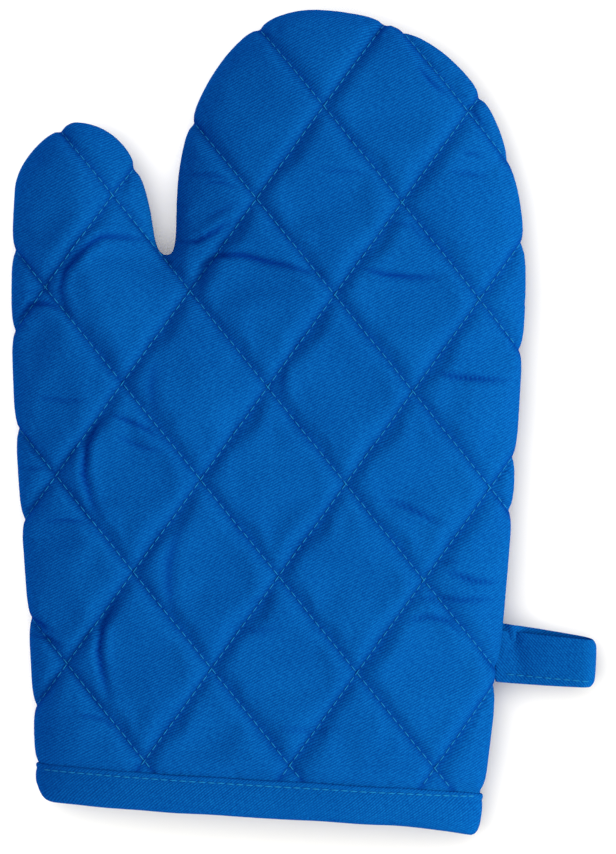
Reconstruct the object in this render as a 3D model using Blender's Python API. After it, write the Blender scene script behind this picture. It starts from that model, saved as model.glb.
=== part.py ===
"""Quilted oven mitt, lying palm up, with its cuff bound and a hanging loop on its outer side seam.

The mitt lies on its back panel at z = 0. +Y runs from the cuff to the fingertips, the thumb is on the
-X side, and the origin is under the middle of the palm. Every size is in metres.

Each panel is a sandwich: an outer shell, a sheet of wadding and a lining. The front and back panels meet
at the side seam. Each layer is split at the two lines where the mitt folds, so that its fingers and its
thumb can turn on their joints.
"""

from math import atan2, cos, pi, radians, sin, sqrt

import bmesh
import bpy
from mathutils import Vector
from mathutils.geometry import interpolate_bezier

# Overall sizes of the mitt in plan.
PALM_TO_CUFF = 0.1275  # from the origin down to the bound edge of the cuff
PALM_TO_FINGERTIP = 0.1466
CUFF_LEFT, CUFF_RIGHT = -0.0709, 0.0794
HAND_RIGHT = 0.0842  # the outer side at its widest
FINGERS_LEFT = -0.0357  # the side of the fingers that faces the thumb
THUMB_LEFT = -0.0908
THUMB_TIP = (-0.0714, 0.1035)
THUMB_INNER = (-0.0446, 0.0743)  # where the thumb's inner side leaves the crotch
CROTCH = (-0.0375, 0.0610)  # the bottom of the notch between thumb and fingers
FINGERTIP_X = 0.0091

# Thickness of the mitt, and of its layers.
SEAM_HEIGHT = 0.0120  # the side seam above the table, as deep as the back panel's dish
FRONT_RISE = 0.0200  # the palm's crown above the side seam
FRONT_REACH = 0.0600  # how far in from the seam the front panel is still rising
BACK_REACH = 0.0250
SHELL = 0.0006
WADDING = 0.0045
LINING = 0.0004
EDGE_HEIGHT = 0.0004  # height of each layer's cut edge at the seam
FRONT_PINCH = 0.0030  # how far the binding pulls the palm's crown down at the cuff
PINCH_RUN = 0.0180  # how far above the binding that pull has faded out

# Cuff binding and its topstitch.
BINDING_WIDTH = 0.0135
BINDING_CLOTH = 0.0008
TOPSTITCH_INSET = 0.0020  # from the binding's upper edge
THREAD = 0.0005

# Hanging loop.
LOOP_FROM_CUFF = 0.0600  # from the bound edge to the middle of the loop
LOOP_WIDTH = 0.0172
LOOP_REACH = 0.0320  # out from the side seam
LOOP_CLOTH = 0.0011  # a folded tape, two cloths thick
LOOP_EYE = 0.0070  # clear height inside the loop, near its tip
LOOP_STITCH_INSET = 0.0030  # from the tape's lower edge

# The folds, and the clearance between touching pieces.
FINGERS_FOLD_ABOVE_CROTCH = 0.0160
THUMB_FOLD_ABOVE_CROTCH = 0.0120
THUMB_FOLD_ANGLE = radians(57.5)  # direction of the fold from +X, parallel to one set of quilting lines
GAP = 0.0003

# How finely the layers are divided.
OUTLINE_STEP = 0.0100
LAST_RING = 0.0095  # the innermost ring that follows the seam, short of where it would fold over itself
SLICE = 0.0200
CUFF_RUN_ON = 0.0200  # how far the outline runs on past the cuff before it is cut square
LOOP_TIP_STEPS = 8

COLOURS = {
    "shell_twill": (0.0021, 0.0953, 0.3813),
    "wadding": (0.86, 0.85, 0.80),
    "lining_cotton": (0.78, 0.77, 0.73),
    "binding_twill": (0.0021, 0.0887, 0.3419),
    "thread": (0.0080, 0.1900, 0.4200),
}

# What follows from those sizes.
CUFF_Y = -PALM_TO_CUFF
PANEL_END_Y = CUFF_Y + BINDING_CLOTH + GAP
BINDING_TOP_Y = CUFF_Y + BINDING_WIDTH
WADDING_DEPTH = SHELL + GAP
LINING_DEPTH = WADDING_DEPTH + WADDING + GAP
CAVITY_DEPTH = LINING_DEPTH + LINING
RINGS = (0.0, WADDING_DEPTH, (WADDING_DEPTH + LINING_DEPTH) / 2, LINING_DEPTH, LAST_RING)
MITT_TOP = SEAM_HEIGHT + FRONT_RISE
# The back is pulled in far enough for the binding and its stitch to clear the table.
BACK_PINCH = BINDING_CLOTH + THREAD + 3 * GAP
SIDES = {
    "front": (1, FRONT_RISE, FRONT_REACH, FRONT_PINCH),
    "back": (-1, SEAM_HEIGHT, BACK_REACH, BACK_PINCH),
}
LAYERS = {
    "shell": (0.0, SHELL, "shell_twill"),
    "wadding": (WADDING_DEPTH, WADDING_DEPTH + WADDING, "wadding"),
    "lining": (LINING_DEPTH, CAVITY_DEPTH, "lining_cotton"),
}
FINGERS_FOLD_Y = CROTCH[1] + FINGERS_FOLD_ABOVE_CROTCH
THUMB_FOLD_ALONG = Vector((cos(THUMB_FOLD_ANGLE), sin(THUMB_FOLD_ANGLE)))
THUMB_FOLD_ACROSS = Vector((-sin(THUMB_FOLD_ANGLE), cos(THUMB_FOLD_ANGLE)))  # towards the thumb's tip
THUMB_FOLD_POINT = Vector(CROTCH) + THUMB_FOLD_ABOVE_CROTCH * THUMB_FOLD_ACROSS


def clear_scene():
    for obj in list(bpy.data.objects):
        bpy.data.objects.remove(obj, do_unlink=True)


def make_material(name, colour):
    material = bpy.data.materials.new(name)
    material.use_nodes = True
    shader = material.node_tree.nodes["Principled BSDF"]
    shader.inputs["Base Color"].default_value = (*colour, 1.0)
    shader.inputs["Roughness"].default_value = 0.85
    shader.inputs["Metallic"].default_value = 0.0
    material.diffuse_color = (*colour, 1.0)
    return material


def add_object(name, bm, collection, material, parent=None):
    """A named object from a bmesh in world coordinates, facing out, under its joint's empty if it has one."""
    bmesh.ops.recalc_face_normals(bm, faces=bm.faces[:])
    mesh = bpy.data.meshes.new(name)
    bm.to_mesh(mesh)
    bm.free()
    mesh.materials.append(material)
    obj = bpy.data.objects.new(name, mesh)
    collection.objects.link(obj)
    if parent:
        obj.parent = parent
        obj.matrix_parent_inverse = parent.matrix_world.inverted()
    return obj


def add_axis(name, point, direction, collection):
    """An empty on a joint's axis, its X along the axis."""
    empty = bpy.data.objects.new(name, None)
    empty.empty_display_size = 0.02
    collection.objects.link(empty)
    empty.location = point
    empty.rotation_euler = (0.0, 0.0, atan2(direction.y, direction.x))
    bpy.context.view_layer.update()
    return empty


# The side seam ----------------------------------------------------------------------------------------


def seam_points():
    """The side seam in plan, from below the cuff on the right, round the fingers and thumb, to the left."""
    # Each anchor is a point, the direction the seam runs there in degrees, and the handles before and
    # after it as shares of the distance to the next anchor.
    anchors = (
        ((CUFF_RIGHT, CUFF_Y), 85.5, 0.00, 0.42),
        ((HAND_RIGHT, 0.0460), 90.0, 0.23, 0.44),
        ((FINGERTIP_X, PALM_TO_FINGERTIP), 180.0, 0.45, 0.36),
        ((FINGERS_LEFT, 0.0830), 270.0, 0.40, 0.56),
        (CROTCH, 180.0, 0.16, 0.25),
        (THUMB_INNER, 105.0, 0.36, 0.30),
        (THUMB_TIP, 180.0, 0.45, 0.16),
        ((THUMB_LEFT, 0.0796), 270.0, 0.39, 0.35),
        ((CUFF_LEFT, CUFF_Y), 274.5, 0.40, 0.00),
    )
    points = []
    for (start, start_angle, _, after), (end, end_angle, before, _) in zip(anchors, anchors[1:]):
        start, end = Vector(start), Vector(end)
        chord = (end - start).length
        leaving = Vector((cos(radians(start_angle)), sin(radians(start_angle))))
        arriving = Vector((cos(radians(end_angle)), sin(radians(end_angle))))
        steps = max(4, round(chord / OUTLINE_STEP))
        curve = interpolate_bezier(
            start.to_3d(),
            (start + after * chord * leaving).to_3d(),
            (end - before * chord * arriving).to_3d(),
            end.to_3d(),
            steps + 1,
        )
        points += [point.to_2d() for point in curve[:-1]]
    points.append(Vector((CUFF_LEFT, CUFF_Y)))
    first = points[0] - (points[1] - points[0]).normalized() * CUFF_RUN_ON
    last = points[-1] + (points[-1] - points[-2]).normalized() * CUFF_RUN_ON
    return [first, *points, last]


SEAM = seam_points()


def distance_to_seam(point):
    """How far a point in plan lies from the side seam."""
    nearest = 1.0
    for start, end in zip(SEAM, SEAM[1:]):
        along = end - start
        share = max(0.0, min(1.0, (point - start).dot(along) / along.length_squared))
        nearest = min(nearest, (start + share * along - point).length)
    return nearest


def seam_x(y, right):
    """Where the side seam crosses `y`, below the thumb and fingers."""
    run = SEAM if right else SEAM[::-1]
    for start, end in zip(run, run[1:]):
        if start.y <= y <= end.y:
            return start.x + (end.x - start.x) * (y - start.y) / (end.y - start.y)
    raise ValueError(f"the side seam doesn't cross y = {y}")


# The panels -------------------------------------------------------------------------------------------


def skin_z(side, distance, y, depth, least=0.0):
    """Height above the table of the surface `depth` under one panel's skin, `distance` in from the seam."""
    outward, rise, reach, pinch = SIDES[side]
    share = max(0.0, min(1.0, (distance - depth) / (reach - depth)))
    pinched = max(0.0, min(1.0, 1 - (y - BINDING_TOP_Y) / PINCH_RUN))
    crown = rise - depth - pinched * pinch
    return SEAM_HEIGHT + outward * max(least, crown * sqrt(1 - (1 - share) ** 2))


def slice_positions(low, high):
    """Even positions between two limits, no nearer than half a slice to either."""
    count = max(1, round((high - low) / SLICE) - 1)
    return [low + (high - low) * (step + 1) / (count + 1) for step in range(count)]


SLICE_X = slice_positions(CUFF_LEFT, CUFF_RIGHT)


def cut(bm, faces, point, normal, clear_outer=False):
    edges = {edge for face in faces for edge in face.edges}
    verts = {vert for face in faces for vert in face.verts}
    bmesh.ops.bisect_plane(
        bm,
        geom=[*verts, *edges, *faces],
        dist=1e-7,
        plane_co=(*point, 0.0),
        plane_no=(*normal, 0.0),
        clear_outer=clear_outer,
    )


def panel_plan():
    """One flat panel in plan: rings that follow the seam, slices across them, and cuts along both folds.

    Each point keeps its distance from the seam, which is its ring's on a ring and in between, so that
    every layer is shaped from the same numbers.
    """
    bm = bmesh.new()
    distance = bm.verts.layers.float.new("distance")
    verts = [bm.verts.new((point.x, point.y, 0.0)) for point in SEAM]
    for start, end in zip(verts, verts[1:] + verts[:1]):
        bm.edges.new((start, end))
    bmesh.ops.contextual_create(bm, geom=bm.edges[:])
    inner = bm.faces[:]
    for outer_ring, ring in zip(RINGS, RINGS[1:]):
        bmesh.ops.inset_region(
            bm, faces=inner, thickness=ring - outer_ring, use_boundary=True, use_even_offset=True
        )
        for vert in inner[0].verts:
            vert[distance] = ring
    for x in SLICE_X:
        cut(bm, bm.faces[:], (x, 0.0), (1.0, 0.0))
    for y in [BINDING_TOP_Y, *slice_positions(BINDING_TOP_Y, FINGERS_FOLD_Y)]:
        cut(bm, bm.faces[:], (0.0, y), (0.0, 1.0))
    for y in slice_positions(FINGERS_FOLD_Y, PALM_TO_FINGERTIP):
        cut(bm, bm.faces[:], (0.0, y), (0.0, 1.0))
    beside_thumb = [face for face in bm.faces if face.calc_center_median().x < CROTCH[0]]
    cut(bm, [face for face in beside_thumb if face.calc_center_median().y > 0], THUMB_TIP, (1.0, 0.0))
    cut(bm, bm.faces[:], (0.0, PANEL_END_Y), (0.0, -1.0), clear_outer=True)
    for side in (-GAP / 2, GAP / 2):
        fingers = [face for face in bm.faces if face.calc_center_median().x > CROTCH[0]]
        cut(bm, fingers, (0.0, FINGERS_FOLD_Y + side), (0.0, 1.0))
        thumb = [face for face in bm.faces if face.calc_center_median().x < CROTCH[0]]
        cut(bm, thumb, THUMB_FOLD_POINT + side * THUMB_FOLD_ACROSS, THUMB_FOLD_ACROSS)
    bmesh.ops.triangulate(bm, faces=bm.faces[:])
    for vert in bm.verts:
        if vert[distance] > RINGS[-1] - GAP:
            vert[distance] = max(RINGS[-1], distance_to_seam(vert.co.to_2d()))
    return bm


def region_of(point):
    """The body that a point of a panel belongs to, or None in the gap at a fold."""
    if point.x < CROTCH[0]:
        beyond, body = (point - THUMB_FOLD_POINT).dot(THUMB_FOLD_ACROSS), "thumb"
    else:
        beyond, body = point.y - FINGERS_FOLD_Y, "fingers"
    if abs(beyond) < GAP / 2:
        return None
    return body if beyond > 0 else "hand"


def layer_solid(plan, side, depths, region):
    """One layer of one panel over one region, as a closed solid between two nested domes."""
    outer_depth, inner_depth = depths
    bm = plan.copy()
    distance = bm.verts.layers.float["distance"]
    outside = []
    for face in bm.faces:
        beyond_edge = min(vert[distance] for vert in face.verts) < outer_depth - GAP / 2
        if beyond_edge or region_of(face.calc_center_median().to_2d()) != region:
            outside.append(face)
    bmesh.ops.delete(bm, geom=outside, context="FACES")
    inner_verts = bm.verts[:]
    made = bmesh.ops.extrude_face_region(bm, geom=bm.faces[:])["geom"]
    outer_verts = [item for item in made if isinstance(item, bmesh.types.BMVert)]
    for verts, depth, least in ((inner_verts, inner_depth, GAP / 2), (outer_verts, outer_depth, EDGE_HEIGHT)):
        for vert in verts:
            vert.co.z = skin_z(side, vert[distance], vert.co.y, depth, least)
    return bm


def build_panels(collection, materials, parents):
    plan = panel_plan()
    for side in SIDES:
        for layer, (outer_depth, inner_depth, material) in LAYERS.items():
            for region in ("hand", "fingers", "thumb"):
                solid = layer_solid(plan, side, (outer_depth, inner_depth), region)
                name = f"{side}_{layer}_{region}"
                add_object(name, solid, collection, materials[material], parents.get(region))
    plan.free()


# The cuff ---------------------------------------------------------------------------------------------


def cuff_section(y, depth):
    """A closed loop round the mitt at `y`, `depth` under its skin, with a point wherever the layers have one."""
    left, right = seam_x(y, right=False), seam_x(y, right=True)
    stations = [depth, *[ring for ring in RINGS if ring > depth + GAP]]
    across = [left + station for station in stations] + SLICE_X + [right - station for station in stations[::-1]]
    loop = []
    for side in SIDES:
        row = [Vector((x, y, skin_z(side, distance_to_seam(Vector((x, y))), y, depth))) for x in across]
        row[0].z = row[-1].z = SEAM_HEIGHT
        missing = len(RINGS) + 1 - len(stations)
        start = [row[0].lerp(row[1], (step + 1) / (missing + 1)) for step in range(missing)]
        end = [row[-2].lerp(row[-1], (step + 1) / (missing + 1)) for step in range(missing)]
        row = [row[0], *start, *row[1:-1], *end, row[-1]]
        loop += row[:-1] if side == "front" else row[:0:-1]
    return loop


def ring_of(sections):
    """A closed ring lofted through the sections, the last one joined to the first."""
    bm = bmesh.new()
    loops = [[bm.verts.new(point) for point in section] for section in sections]
    for here, there in zip(loops, loops[1:] + loops[:1]):
        for index in range(len(here)):
            after = (index + 1) % len(here)
            bm.faces.new((here[index], here[after], there[after], there[index]))
    return bm


def build_cuff(collection, materials):
    """A strip of twill folded over the raw edges of all the layers, and the thread that holds it down."""
    outer, outer_gap = -GAP - BINDING_CLOTH, -GAP
    inner_gap, inner = CAVITY_DEPTH + GAP, CAVITY_DEPTH + GAP + BINDING_CLOTH
    fold_y = CUFF_Y + BINDING_CLOTH
    binding = ring_of(
        (
            cuff_section(BINDING_TOP_Y, outer),
            cuff_section(CUFF_Y, outer),
            cuff_section(CUFF_Y, inner),
            cuff_section(BINDING_TOP_Y, inner),
            cuff_section(BINDING_TOP_Y, inner_gap),
            cuff_section(fold_y, inner_gap),
            cuff_section(fold_y, outer_gap),
            cuff_section(BINDING_TOP_Y, outer_gap),
        )
    )
    add_object("cuff_binding", binding, collection, materials["binding_twill"])

    stitch_y = BINDING_TOP_Y - TOPSTITCH_INSET
    under, over = outer - GAP, outer - GAP - THREAD
    stitch = ring_of(
        (
            cuff_section(stitch_y + THREAD / 2, over),
            cuff_section(stitch_y - THREAD / 2, over),
            cuff_section(stitch_y - THREAD / 2, under),
            cuff_section(stitch_y + THREAD / 2, under),
        )
    )
    add_object("cuff_topstitch", stitch, collection, materials["thread"])


# The hanging loop -------------------------------------------------------------------------------------

LOOP_Y = CUFF_Y + LOOP_FROM_CUFF
LOOP_ROOT_RADIUS = LOOP_CLOTH + GAP / 2
LOOP_TIP_RADIUS = LOOP_CLOTH + LOOP_EYE / 2
LOOP_ROOT_X = GAP + LOOP_ROOT_RADIUS + max(
    seam_x(LOOP_Y - LOOP_WIDTH / 2, right=True),
    seam_x(LOOP_Y + LOOP_WIDTH / 2, right=True),
)
LOOP_TIP_X = LOOP_ROOT_X - LOOP_ROOT_RADIUS + LOOP_REACH - LOOP_TIP_RADIUS


def loop_side(inset):
    """Half of the loop's profile, from its root round to its tip, `inset` in from its outer face."""
    root, tip = LOOP_ROOT_RADIUS - inset, LOOP_TIP_RADIUS - inset
    slope = pi / 2 + atan2(tip - root, LOOP_TIP_X - LOOP_ROOT_X)
    points = [Vector((LOOP_ROOT_X + root * cos(slope), 0.0, root * sin(slope)))]
    for step in range(LOOP_TIP_STEPS + 1):
        angle = slope * (1 - step / LOOP_TIP_STEPS)
        points.append(Vector((LOOP_TIP_X + tip * cos(angle), 0.0, tip * sin(angle))))
    return points


def mirrored(points):
    return [Vector((point.x, point.y, -point.z)) for point in points]


def build_loop(collection, materials, parent):
    """A tape folded in half with its ends caught in the side seam, and the thread along its lower edge."""
    outer, inner = loop_side(0.0), loop_side(LOOP_CLOTH)
    profile = outer + mirrored(outer[-2::-1]) + mirrored(inner) + inner[-2::-1]
    bm = bmesh.new()
    verts = [bm.verts.new(point) for point in profile]
    for start, end in zip(verts, verts[1:] + verts[:1]):
        bm.edges.new((start, end))
    bmesh.ops.contextual_create(bm, geom=bm.edges[:])
    made = bmesh.ops.extrude_face_region(bm, geom=bm.faces[:])["geom"]
    far = [item for item in made if isinstance(item, bmesh.types.BMVert)]
    bmesh.ops.translate(bm, verts=far, vec=(0.0, LOOP_WIDTH, 0.0))
    bmesh.ops.translate(bm, verts=bm.verts[:], vec=(0.0, LOOP_Y - LOOP_WIDTH / 2, SEAM_HEIGHT))
    add_object("hanging_loop", bm, collection, materials["binding_twill"], parent)

    # The stitch lies on the upper leg, which rises evenly from the root to the tip.
    start, end = outer[0], outer[1]
    along = (end - start).normalized()
    up = Vector((-along.z, 0.0, along.x))
    bm = bmesh.new()
    length = (end - start).length - 2 * LOOP_STITCH_INSET
    bmesh.ops.create_cube(bm, size=1.0)
    bmesh.ops.scale(bm, verts=bm.verts[:], vec=(length, THREAD, THREAD))
    tilt = atan2(along.z, along.x)
    for vert in bm.verts:
        x, z = vert.co.x, vert.co.z
        vert.co.x, vert.co.z = x * cos(tilt) - z * sin(tilt), x * sin(tilt) + z * cos(tilt)
    middle = (start + end) / 2 + (GAP + THREAD / 2) * up
    stitch_y = LOOP_Y - LOOP_WIDTH / 2 + LOOP_STITCH_INSET
    bmesh.ops.translate(bm, verts=bm.verts[:], vec=(middle.x, stitch_y, SEAM_HEIGHT + middle.z))
    add_object("loop_stitch", bm, collection, materials["thread"], parent)


def main():
    clear_scene()
    collection = bpy.data.collections.new("oven_mitt")
    bpy.context.scene.collection.children.link(collection)
    materials = {name: make_material(name, colour) for name, colour in COLOURS.items()}
    fingers_axis = add_axis(
        "fingers_fold_axis", (0.0, FINGERS_FOLD_Y, MITT_TOP), Vector((1.0, 0.0)), collection
    )
    thumb_axis = add_axis("thumb_fold_axis", (*THUMB_FOLD_POINT, MITT_TOP), THUMB_FOLD_ALONG, collection)
    loop_axis = add_axis(
        "loop_flap_axis", (LOOP_ROOT_X, LOOP_Y, SEAM_HEIGHT), Vector((0.0, -1.0)), collection
    )
    build_panels(collection, materials, {"fingers": fingers_axis, "thumb": thumb_axis})
    build_cuff(collection, materials)
    build_loop(collection, materials, loop_axis)


if __name__ == "__main__":
    main()
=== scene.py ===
"""A quilted oven mitt, palm up: two panels sewn together at the edge, a bound cuff and a hanging loop."""

from math import cos, pi, radians, sin

import bmesh
import bpy
import numpy as np
from mathutils import Matrix, Vector, noise
from mathutils.bvhtree import BVHTree


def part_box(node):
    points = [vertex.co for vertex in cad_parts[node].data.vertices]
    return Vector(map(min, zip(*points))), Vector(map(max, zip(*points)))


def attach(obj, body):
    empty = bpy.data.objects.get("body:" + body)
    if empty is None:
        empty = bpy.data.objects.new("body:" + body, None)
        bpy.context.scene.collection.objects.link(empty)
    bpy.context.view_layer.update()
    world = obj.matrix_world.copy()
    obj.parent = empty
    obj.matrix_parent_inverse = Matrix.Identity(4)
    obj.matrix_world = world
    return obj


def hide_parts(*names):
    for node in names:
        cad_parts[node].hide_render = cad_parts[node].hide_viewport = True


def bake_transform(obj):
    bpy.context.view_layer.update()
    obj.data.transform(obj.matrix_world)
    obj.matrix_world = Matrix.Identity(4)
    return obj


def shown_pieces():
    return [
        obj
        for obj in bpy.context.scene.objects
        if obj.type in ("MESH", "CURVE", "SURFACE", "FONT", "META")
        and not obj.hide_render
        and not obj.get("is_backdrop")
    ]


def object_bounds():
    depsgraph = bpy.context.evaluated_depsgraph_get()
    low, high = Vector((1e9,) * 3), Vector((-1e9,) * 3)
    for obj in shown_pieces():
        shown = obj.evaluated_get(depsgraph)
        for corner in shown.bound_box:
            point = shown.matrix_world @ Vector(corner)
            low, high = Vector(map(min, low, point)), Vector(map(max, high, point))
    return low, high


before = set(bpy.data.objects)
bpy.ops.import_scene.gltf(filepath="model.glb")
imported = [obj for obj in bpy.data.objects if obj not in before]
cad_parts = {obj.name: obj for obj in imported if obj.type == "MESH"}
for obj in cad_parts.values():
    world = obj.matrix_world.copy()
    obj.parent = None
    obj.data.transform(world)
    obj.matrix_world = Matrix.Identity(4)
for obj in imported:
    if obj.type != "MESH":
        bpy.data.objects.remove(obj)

cad_low, cad_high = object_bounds()

# Where the mitt lies ---------------------------------------------------------------------------------
# A plain white table under an even, bright light from all round. One soft lamp on the right models the
# puffs, another overhead gives the table a narrow shadow, and the camera looks straight down at the palm.

CAMERA_HEIGHT = 1.5
VIEW_HEIGHT = 0.2904  # how much of the table the view's long side takes in
VIEW_CENTRE = (0.0133, 0.0052)
VIEW_TURN = radians(3.5)

seam_height = (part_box("hanging_loop")[0].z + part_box("hanging_loop")[1].z) / 2
camera_data = bpy.data.cameras.new("camera")
camera_data.sensor_width = 36.0
camera_data.lens = camera_data.sensor_width * CAMERA_HEIGHT / VIEW_HEIGHT
camera = bpy.data.objects.new("camera", camera_data)
camera.location = (*VIEW_CENTRE, seam_height + CAMERA_HEIGHT)
camera.rotation_euler = (0.0, 0.0, VIEW_TURN)
bpy.context.scene.collection.objects.link(camera)
bpy.context.scene.camera = camera
bpy.context.scene.view_settings.view_transform = "Standard"


class Wire:
    """A node's output. Arithmetic on it adds the Math nodes that work it out."""

    def __init__(self, finish, socket):
        self.finish = finish
        self.socket = socket

    def math(self, operation, *others):
        sockets = dict(enumerate((self, *others)))
        return self.finish.node("ShaderNodeMath", {"operation": operation}, sockets)

    def __add__(self, other):
        return self.math("ADD", other)

    def __sub__(self, other):
        return self.math("SUBTRACT", other)

    def __mul__(self, other):
        return self.math("MULTIPLY", other)

    def __rsub__(self, other):
        return (self * -1) + other

    __radd__ = __add__
    __rmul__ = __mul__

    def clamped(self):
        return self.math("MINIMUM", 1.0).math("MAXIMUM", 0.0)


class Finish:
    """A material made of nodes."""

    def __init__(self, name, colour, roughness):
        self.material = bpy.data.materials.new(name)
        self.material.use_nodes = True
        self.material.diffuse_color = (*colour, 1.0)
        self.tree = self.material.node_tree
        self.shader = self.tree.nodes["Principled BSDF"]
        self.shader.inputs["Base Color"].default_value = (*colour, 1.0)
        self.shader.inputs["Roughness"].default_value = roughness

    def node(self, kind, settings, inputs, output=0):
        """Adds a node from its type, its settings, and the values or links of its sockets."""
        made = self.tree.nodes.new(kind)
        for setting, value in settings.items():
            setattr(made, setting, value)
        for socket, value in inputs.items():
            if isinstance(value, Wire):
                self.tree.links.new(value.socket, made.inputs[socket])
            else:
                made.inputs[socket].default_value = value
        return Wire(self, made.outputs[output])

    def mixed(self, share, first, second):
        """A colour part way from the first colour to the second."""
        ends = [end if isinstance(end, Wire) else (*end, 1.0) for end in (first, second)]
        settings = {"data_type": "RGBA"}
        return self.node("ShaderNodeMix", settings, {0: share, 6: ends[0], 7: ends[1]}, output=2)

    def noise(self, place, scale, detail=2.0):
        return self.node("ShaderNodeTexNoise", {}, {"Vector": place, "Scale": scale, "Detail": detail})

    def drive(self, socket, wire):
        self.tree.links.new(wire.socket, self.shader.inputs[socket])

    def bump(self, height, distance, strength=1.0):
        inputs = {"Height": height, "Distance": distance, "Strength": strength}
        self.drive("Normal", self.node("ShaderNodeBump", {}, inputs))


def new_object(name, bm, finish):
    """A smooth-shaded object from a bmesh whose points are in place."""
    mesh = bpy.data.meshes.new(name)
    bm.to_mesh(mesh)
    bm.free()
    mesh.materials.append(finish.material)
    mesh.polygons.foreach_set("use_smooth", [True] * len(mesh.polygons))
    obj = bpy.data.objects.new(name, mesh)
    bpy.context.scene.collection.objects.link(obj)
    return obj


TABLE_WHITE = (0.91, 0.90, 0.87)
EVEN_LIGHT = 0.62

table_finish = Finish("table_white", TABLE_WHITE, 0.9)
bm = bmesh.new()
bmesh.ops.create_grid(bm, x_segments=8, y_segments=8, size=4.0)
bmesh.ops.translate(bm, verts=bm.verts[:], vec=(0.0, 0.0, -0.0002))
table = new_object("table", bm, table_finish)
table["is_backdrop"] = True

world = bpy.data.worlds.new("even_light")
world.use_nodes = True
world.node_tree.nodes["Background"].inputs["Color"].default_value = (1.0, 1.0, 1.0, 1.0)
world.node_tree.nodes["Background"].inputs["Strength"].default_value = EVEN_LIGHT
bpy.context.scene.world = world


def soft_lamp(name, place, size, power, colour, lit):
    """A square lamp that faces the middle of the mitt and lights the objects of one collection."""
    data = bpy.data.lights.new(name, "AREA")
    data.shape = "SQUARE"
    data.size = size
    data.energy = power
    data.color = colour
    lamp = bpy.data.objects.new(name, data)
    lamp.location = place
    lamp.rotation_euler = Vector(place).to_track_quat("Z", "Y").to_euler()
    lamp.light_linking.receiver_collection = lit
    bpy.context.scene.collection.objects.link(lamp)


mitt_pieces = bpy.data.collections.new("mitt_pieces")
table_pieces = bpy.data.collections.new("table_pieces")
table_pieces.objects.link(table)
soft_lamp("modelling_lamp", (1.45, -0.32, 1.25), 0.8, 42.0, (1.0, 1.0, 0.62), mitt_pieces)
soft_lamp("shadow_lamp", (-0.30, 0.15, 1.50), 2.0, 36.0, (1.0, 0.99, 0.95), table_pieces)

# The outer cloth -------------------------------------------------------------------------------------
# Each panel's outer cloth is blue cotton twill, quilted to its wadding in diamonds and sewn to the other
# panel all round. The quilting pulls it down along its lines and the wadding fills it out between them.

CUFF_LEFT, CUFF_RIGHT = -0.0709, 0.0794
HAND_RIGHT = 0.0842
FINGERS_LEFT = -0.0357
THUMB_LEFT = -0.0908
THUMB_TIP = (-0.0714, 0.1035)
THUMB_INNER = (-0.0446, 0.0743)
CROTCH = (-0.0375, 0.0610)
FINGERTIP = (0.0091, 0.1466)
SEAM_TUCK = 0.0010  # how far the sewn seam lies inside the puffs on either side of it
CORNER_CUT = 0.0085
EDGE_RINGS = (0.0002, 0.0003, 0.0005, 0.0008, 0.0012, 0.0018)  # widths, from the seam inwards

# Each side: which way is out, its crown over the seam at the quilting, how far in it still rises, and the
# height of its puffs.
SIDES = {"front": (1, 0.0168, 0.0600, 0.0028), "back": (-1, 0.0098, 0.0250, 0.0024)}
PUFF_SHOULDER = 0.0058  # how far from a quilting line the cloth has come up
PUFF_AT_SEAM = 0.0085  # the same from the side seam, along the cloth
PUFF_AT_CUFF = 0.0070  # and from the binding
SEAM_GRIP, CUFF_GRIP = 0.0009, 0.0004  # how near the seam and the binding the cloth can't swell
QUILT_ORIGIN = np.array((-0.0612, 0.1109))
QUILT_ACROSS = np.array((0.02441, 0.00080))  # half a diamond to the right
QUILT_DOWN = np.array((0.00378, -0.03160))  # half a diamond towards the cuff
CLOTH_CUTS = 16  # lines in the mesh for each quilting line
CLOTH_THICKNESS = 0.0005
CLOTH_CAP = 0.0060
TABLE_GAP = 0.0003

binding_low, binding_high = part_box("cuff_binding")
cuff_y, binding_top_y = binding_low.y, binding_high.y
panel_end_y = cuff_y + 0.0011


def seam_line(step):
    """The side seam in plan, from below the cuff on the right, round the fingers and thumb, to the left."""
    # Each anchor is a point, the seam's direction there in degrees, and its handles as shares of the chord.
    anchors = (
        ((CUFF_RIGHT, cuff_y), 85.5, 0.00, 0.42),
        ((HAND_RIGHT, 0.0460), 90.0, 0.23, 0.44),
        (FINGERTIP, 180.0, 0.45, 0.36),
        ((FINGERS_LEFT, 0.0830), 270.0, 0.40, 0.56),
        (CROTCH, 180.0, 0.16, 0.25),
        (THUMB_INNER, 105.0, 0.36, 0.30),
        (THUMB_TIP, 180.0, 0.45, 0.16),
        ((THUMB_LEFT, 0.0796), 270.0, 0.39, 0.35),
        ((CUFF_LEFT, cuff_y), 274.5, 0.40, 0.00),
    )
    points = []
    for (start, start_angle, _, after), (end, end_angle, before, _) in zip(anchors, anchors[1:]):
        start, end = np.array(start), np.array(end)
        chord = np.linalg.norm(end - start)
        leaving = np.array((cos(radians(start_angle)), sin(radians(start_angle))))
        arriving = np.array((cos(radians(end_angle)), sin(radians(end_angle))))
        first, second = start + after * chord * leaving, end - before * chord * arriving
        for share in np.arange(round(chord / step)) / round(chord / step):
            rest = 1 - share
            points.append(
                rest**3 * start + 3 * rest**2 * share * first + 3 * rest * share**2 * second + share**3 * end
            )
    points.append(np.array(anchors[-1][0]))
    first = points[0] - (points[1] - points[0]) * 0.02 / np.linalg.norm(points[1] - points[0])
    last = points[-1] + (points[-1] - points[-2]) * 0.02 / np.linalg.norm(points[-1] - points[-2])
    return np.array([first, *points, last])


SEAM = seam_line(0.0020)


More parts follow.
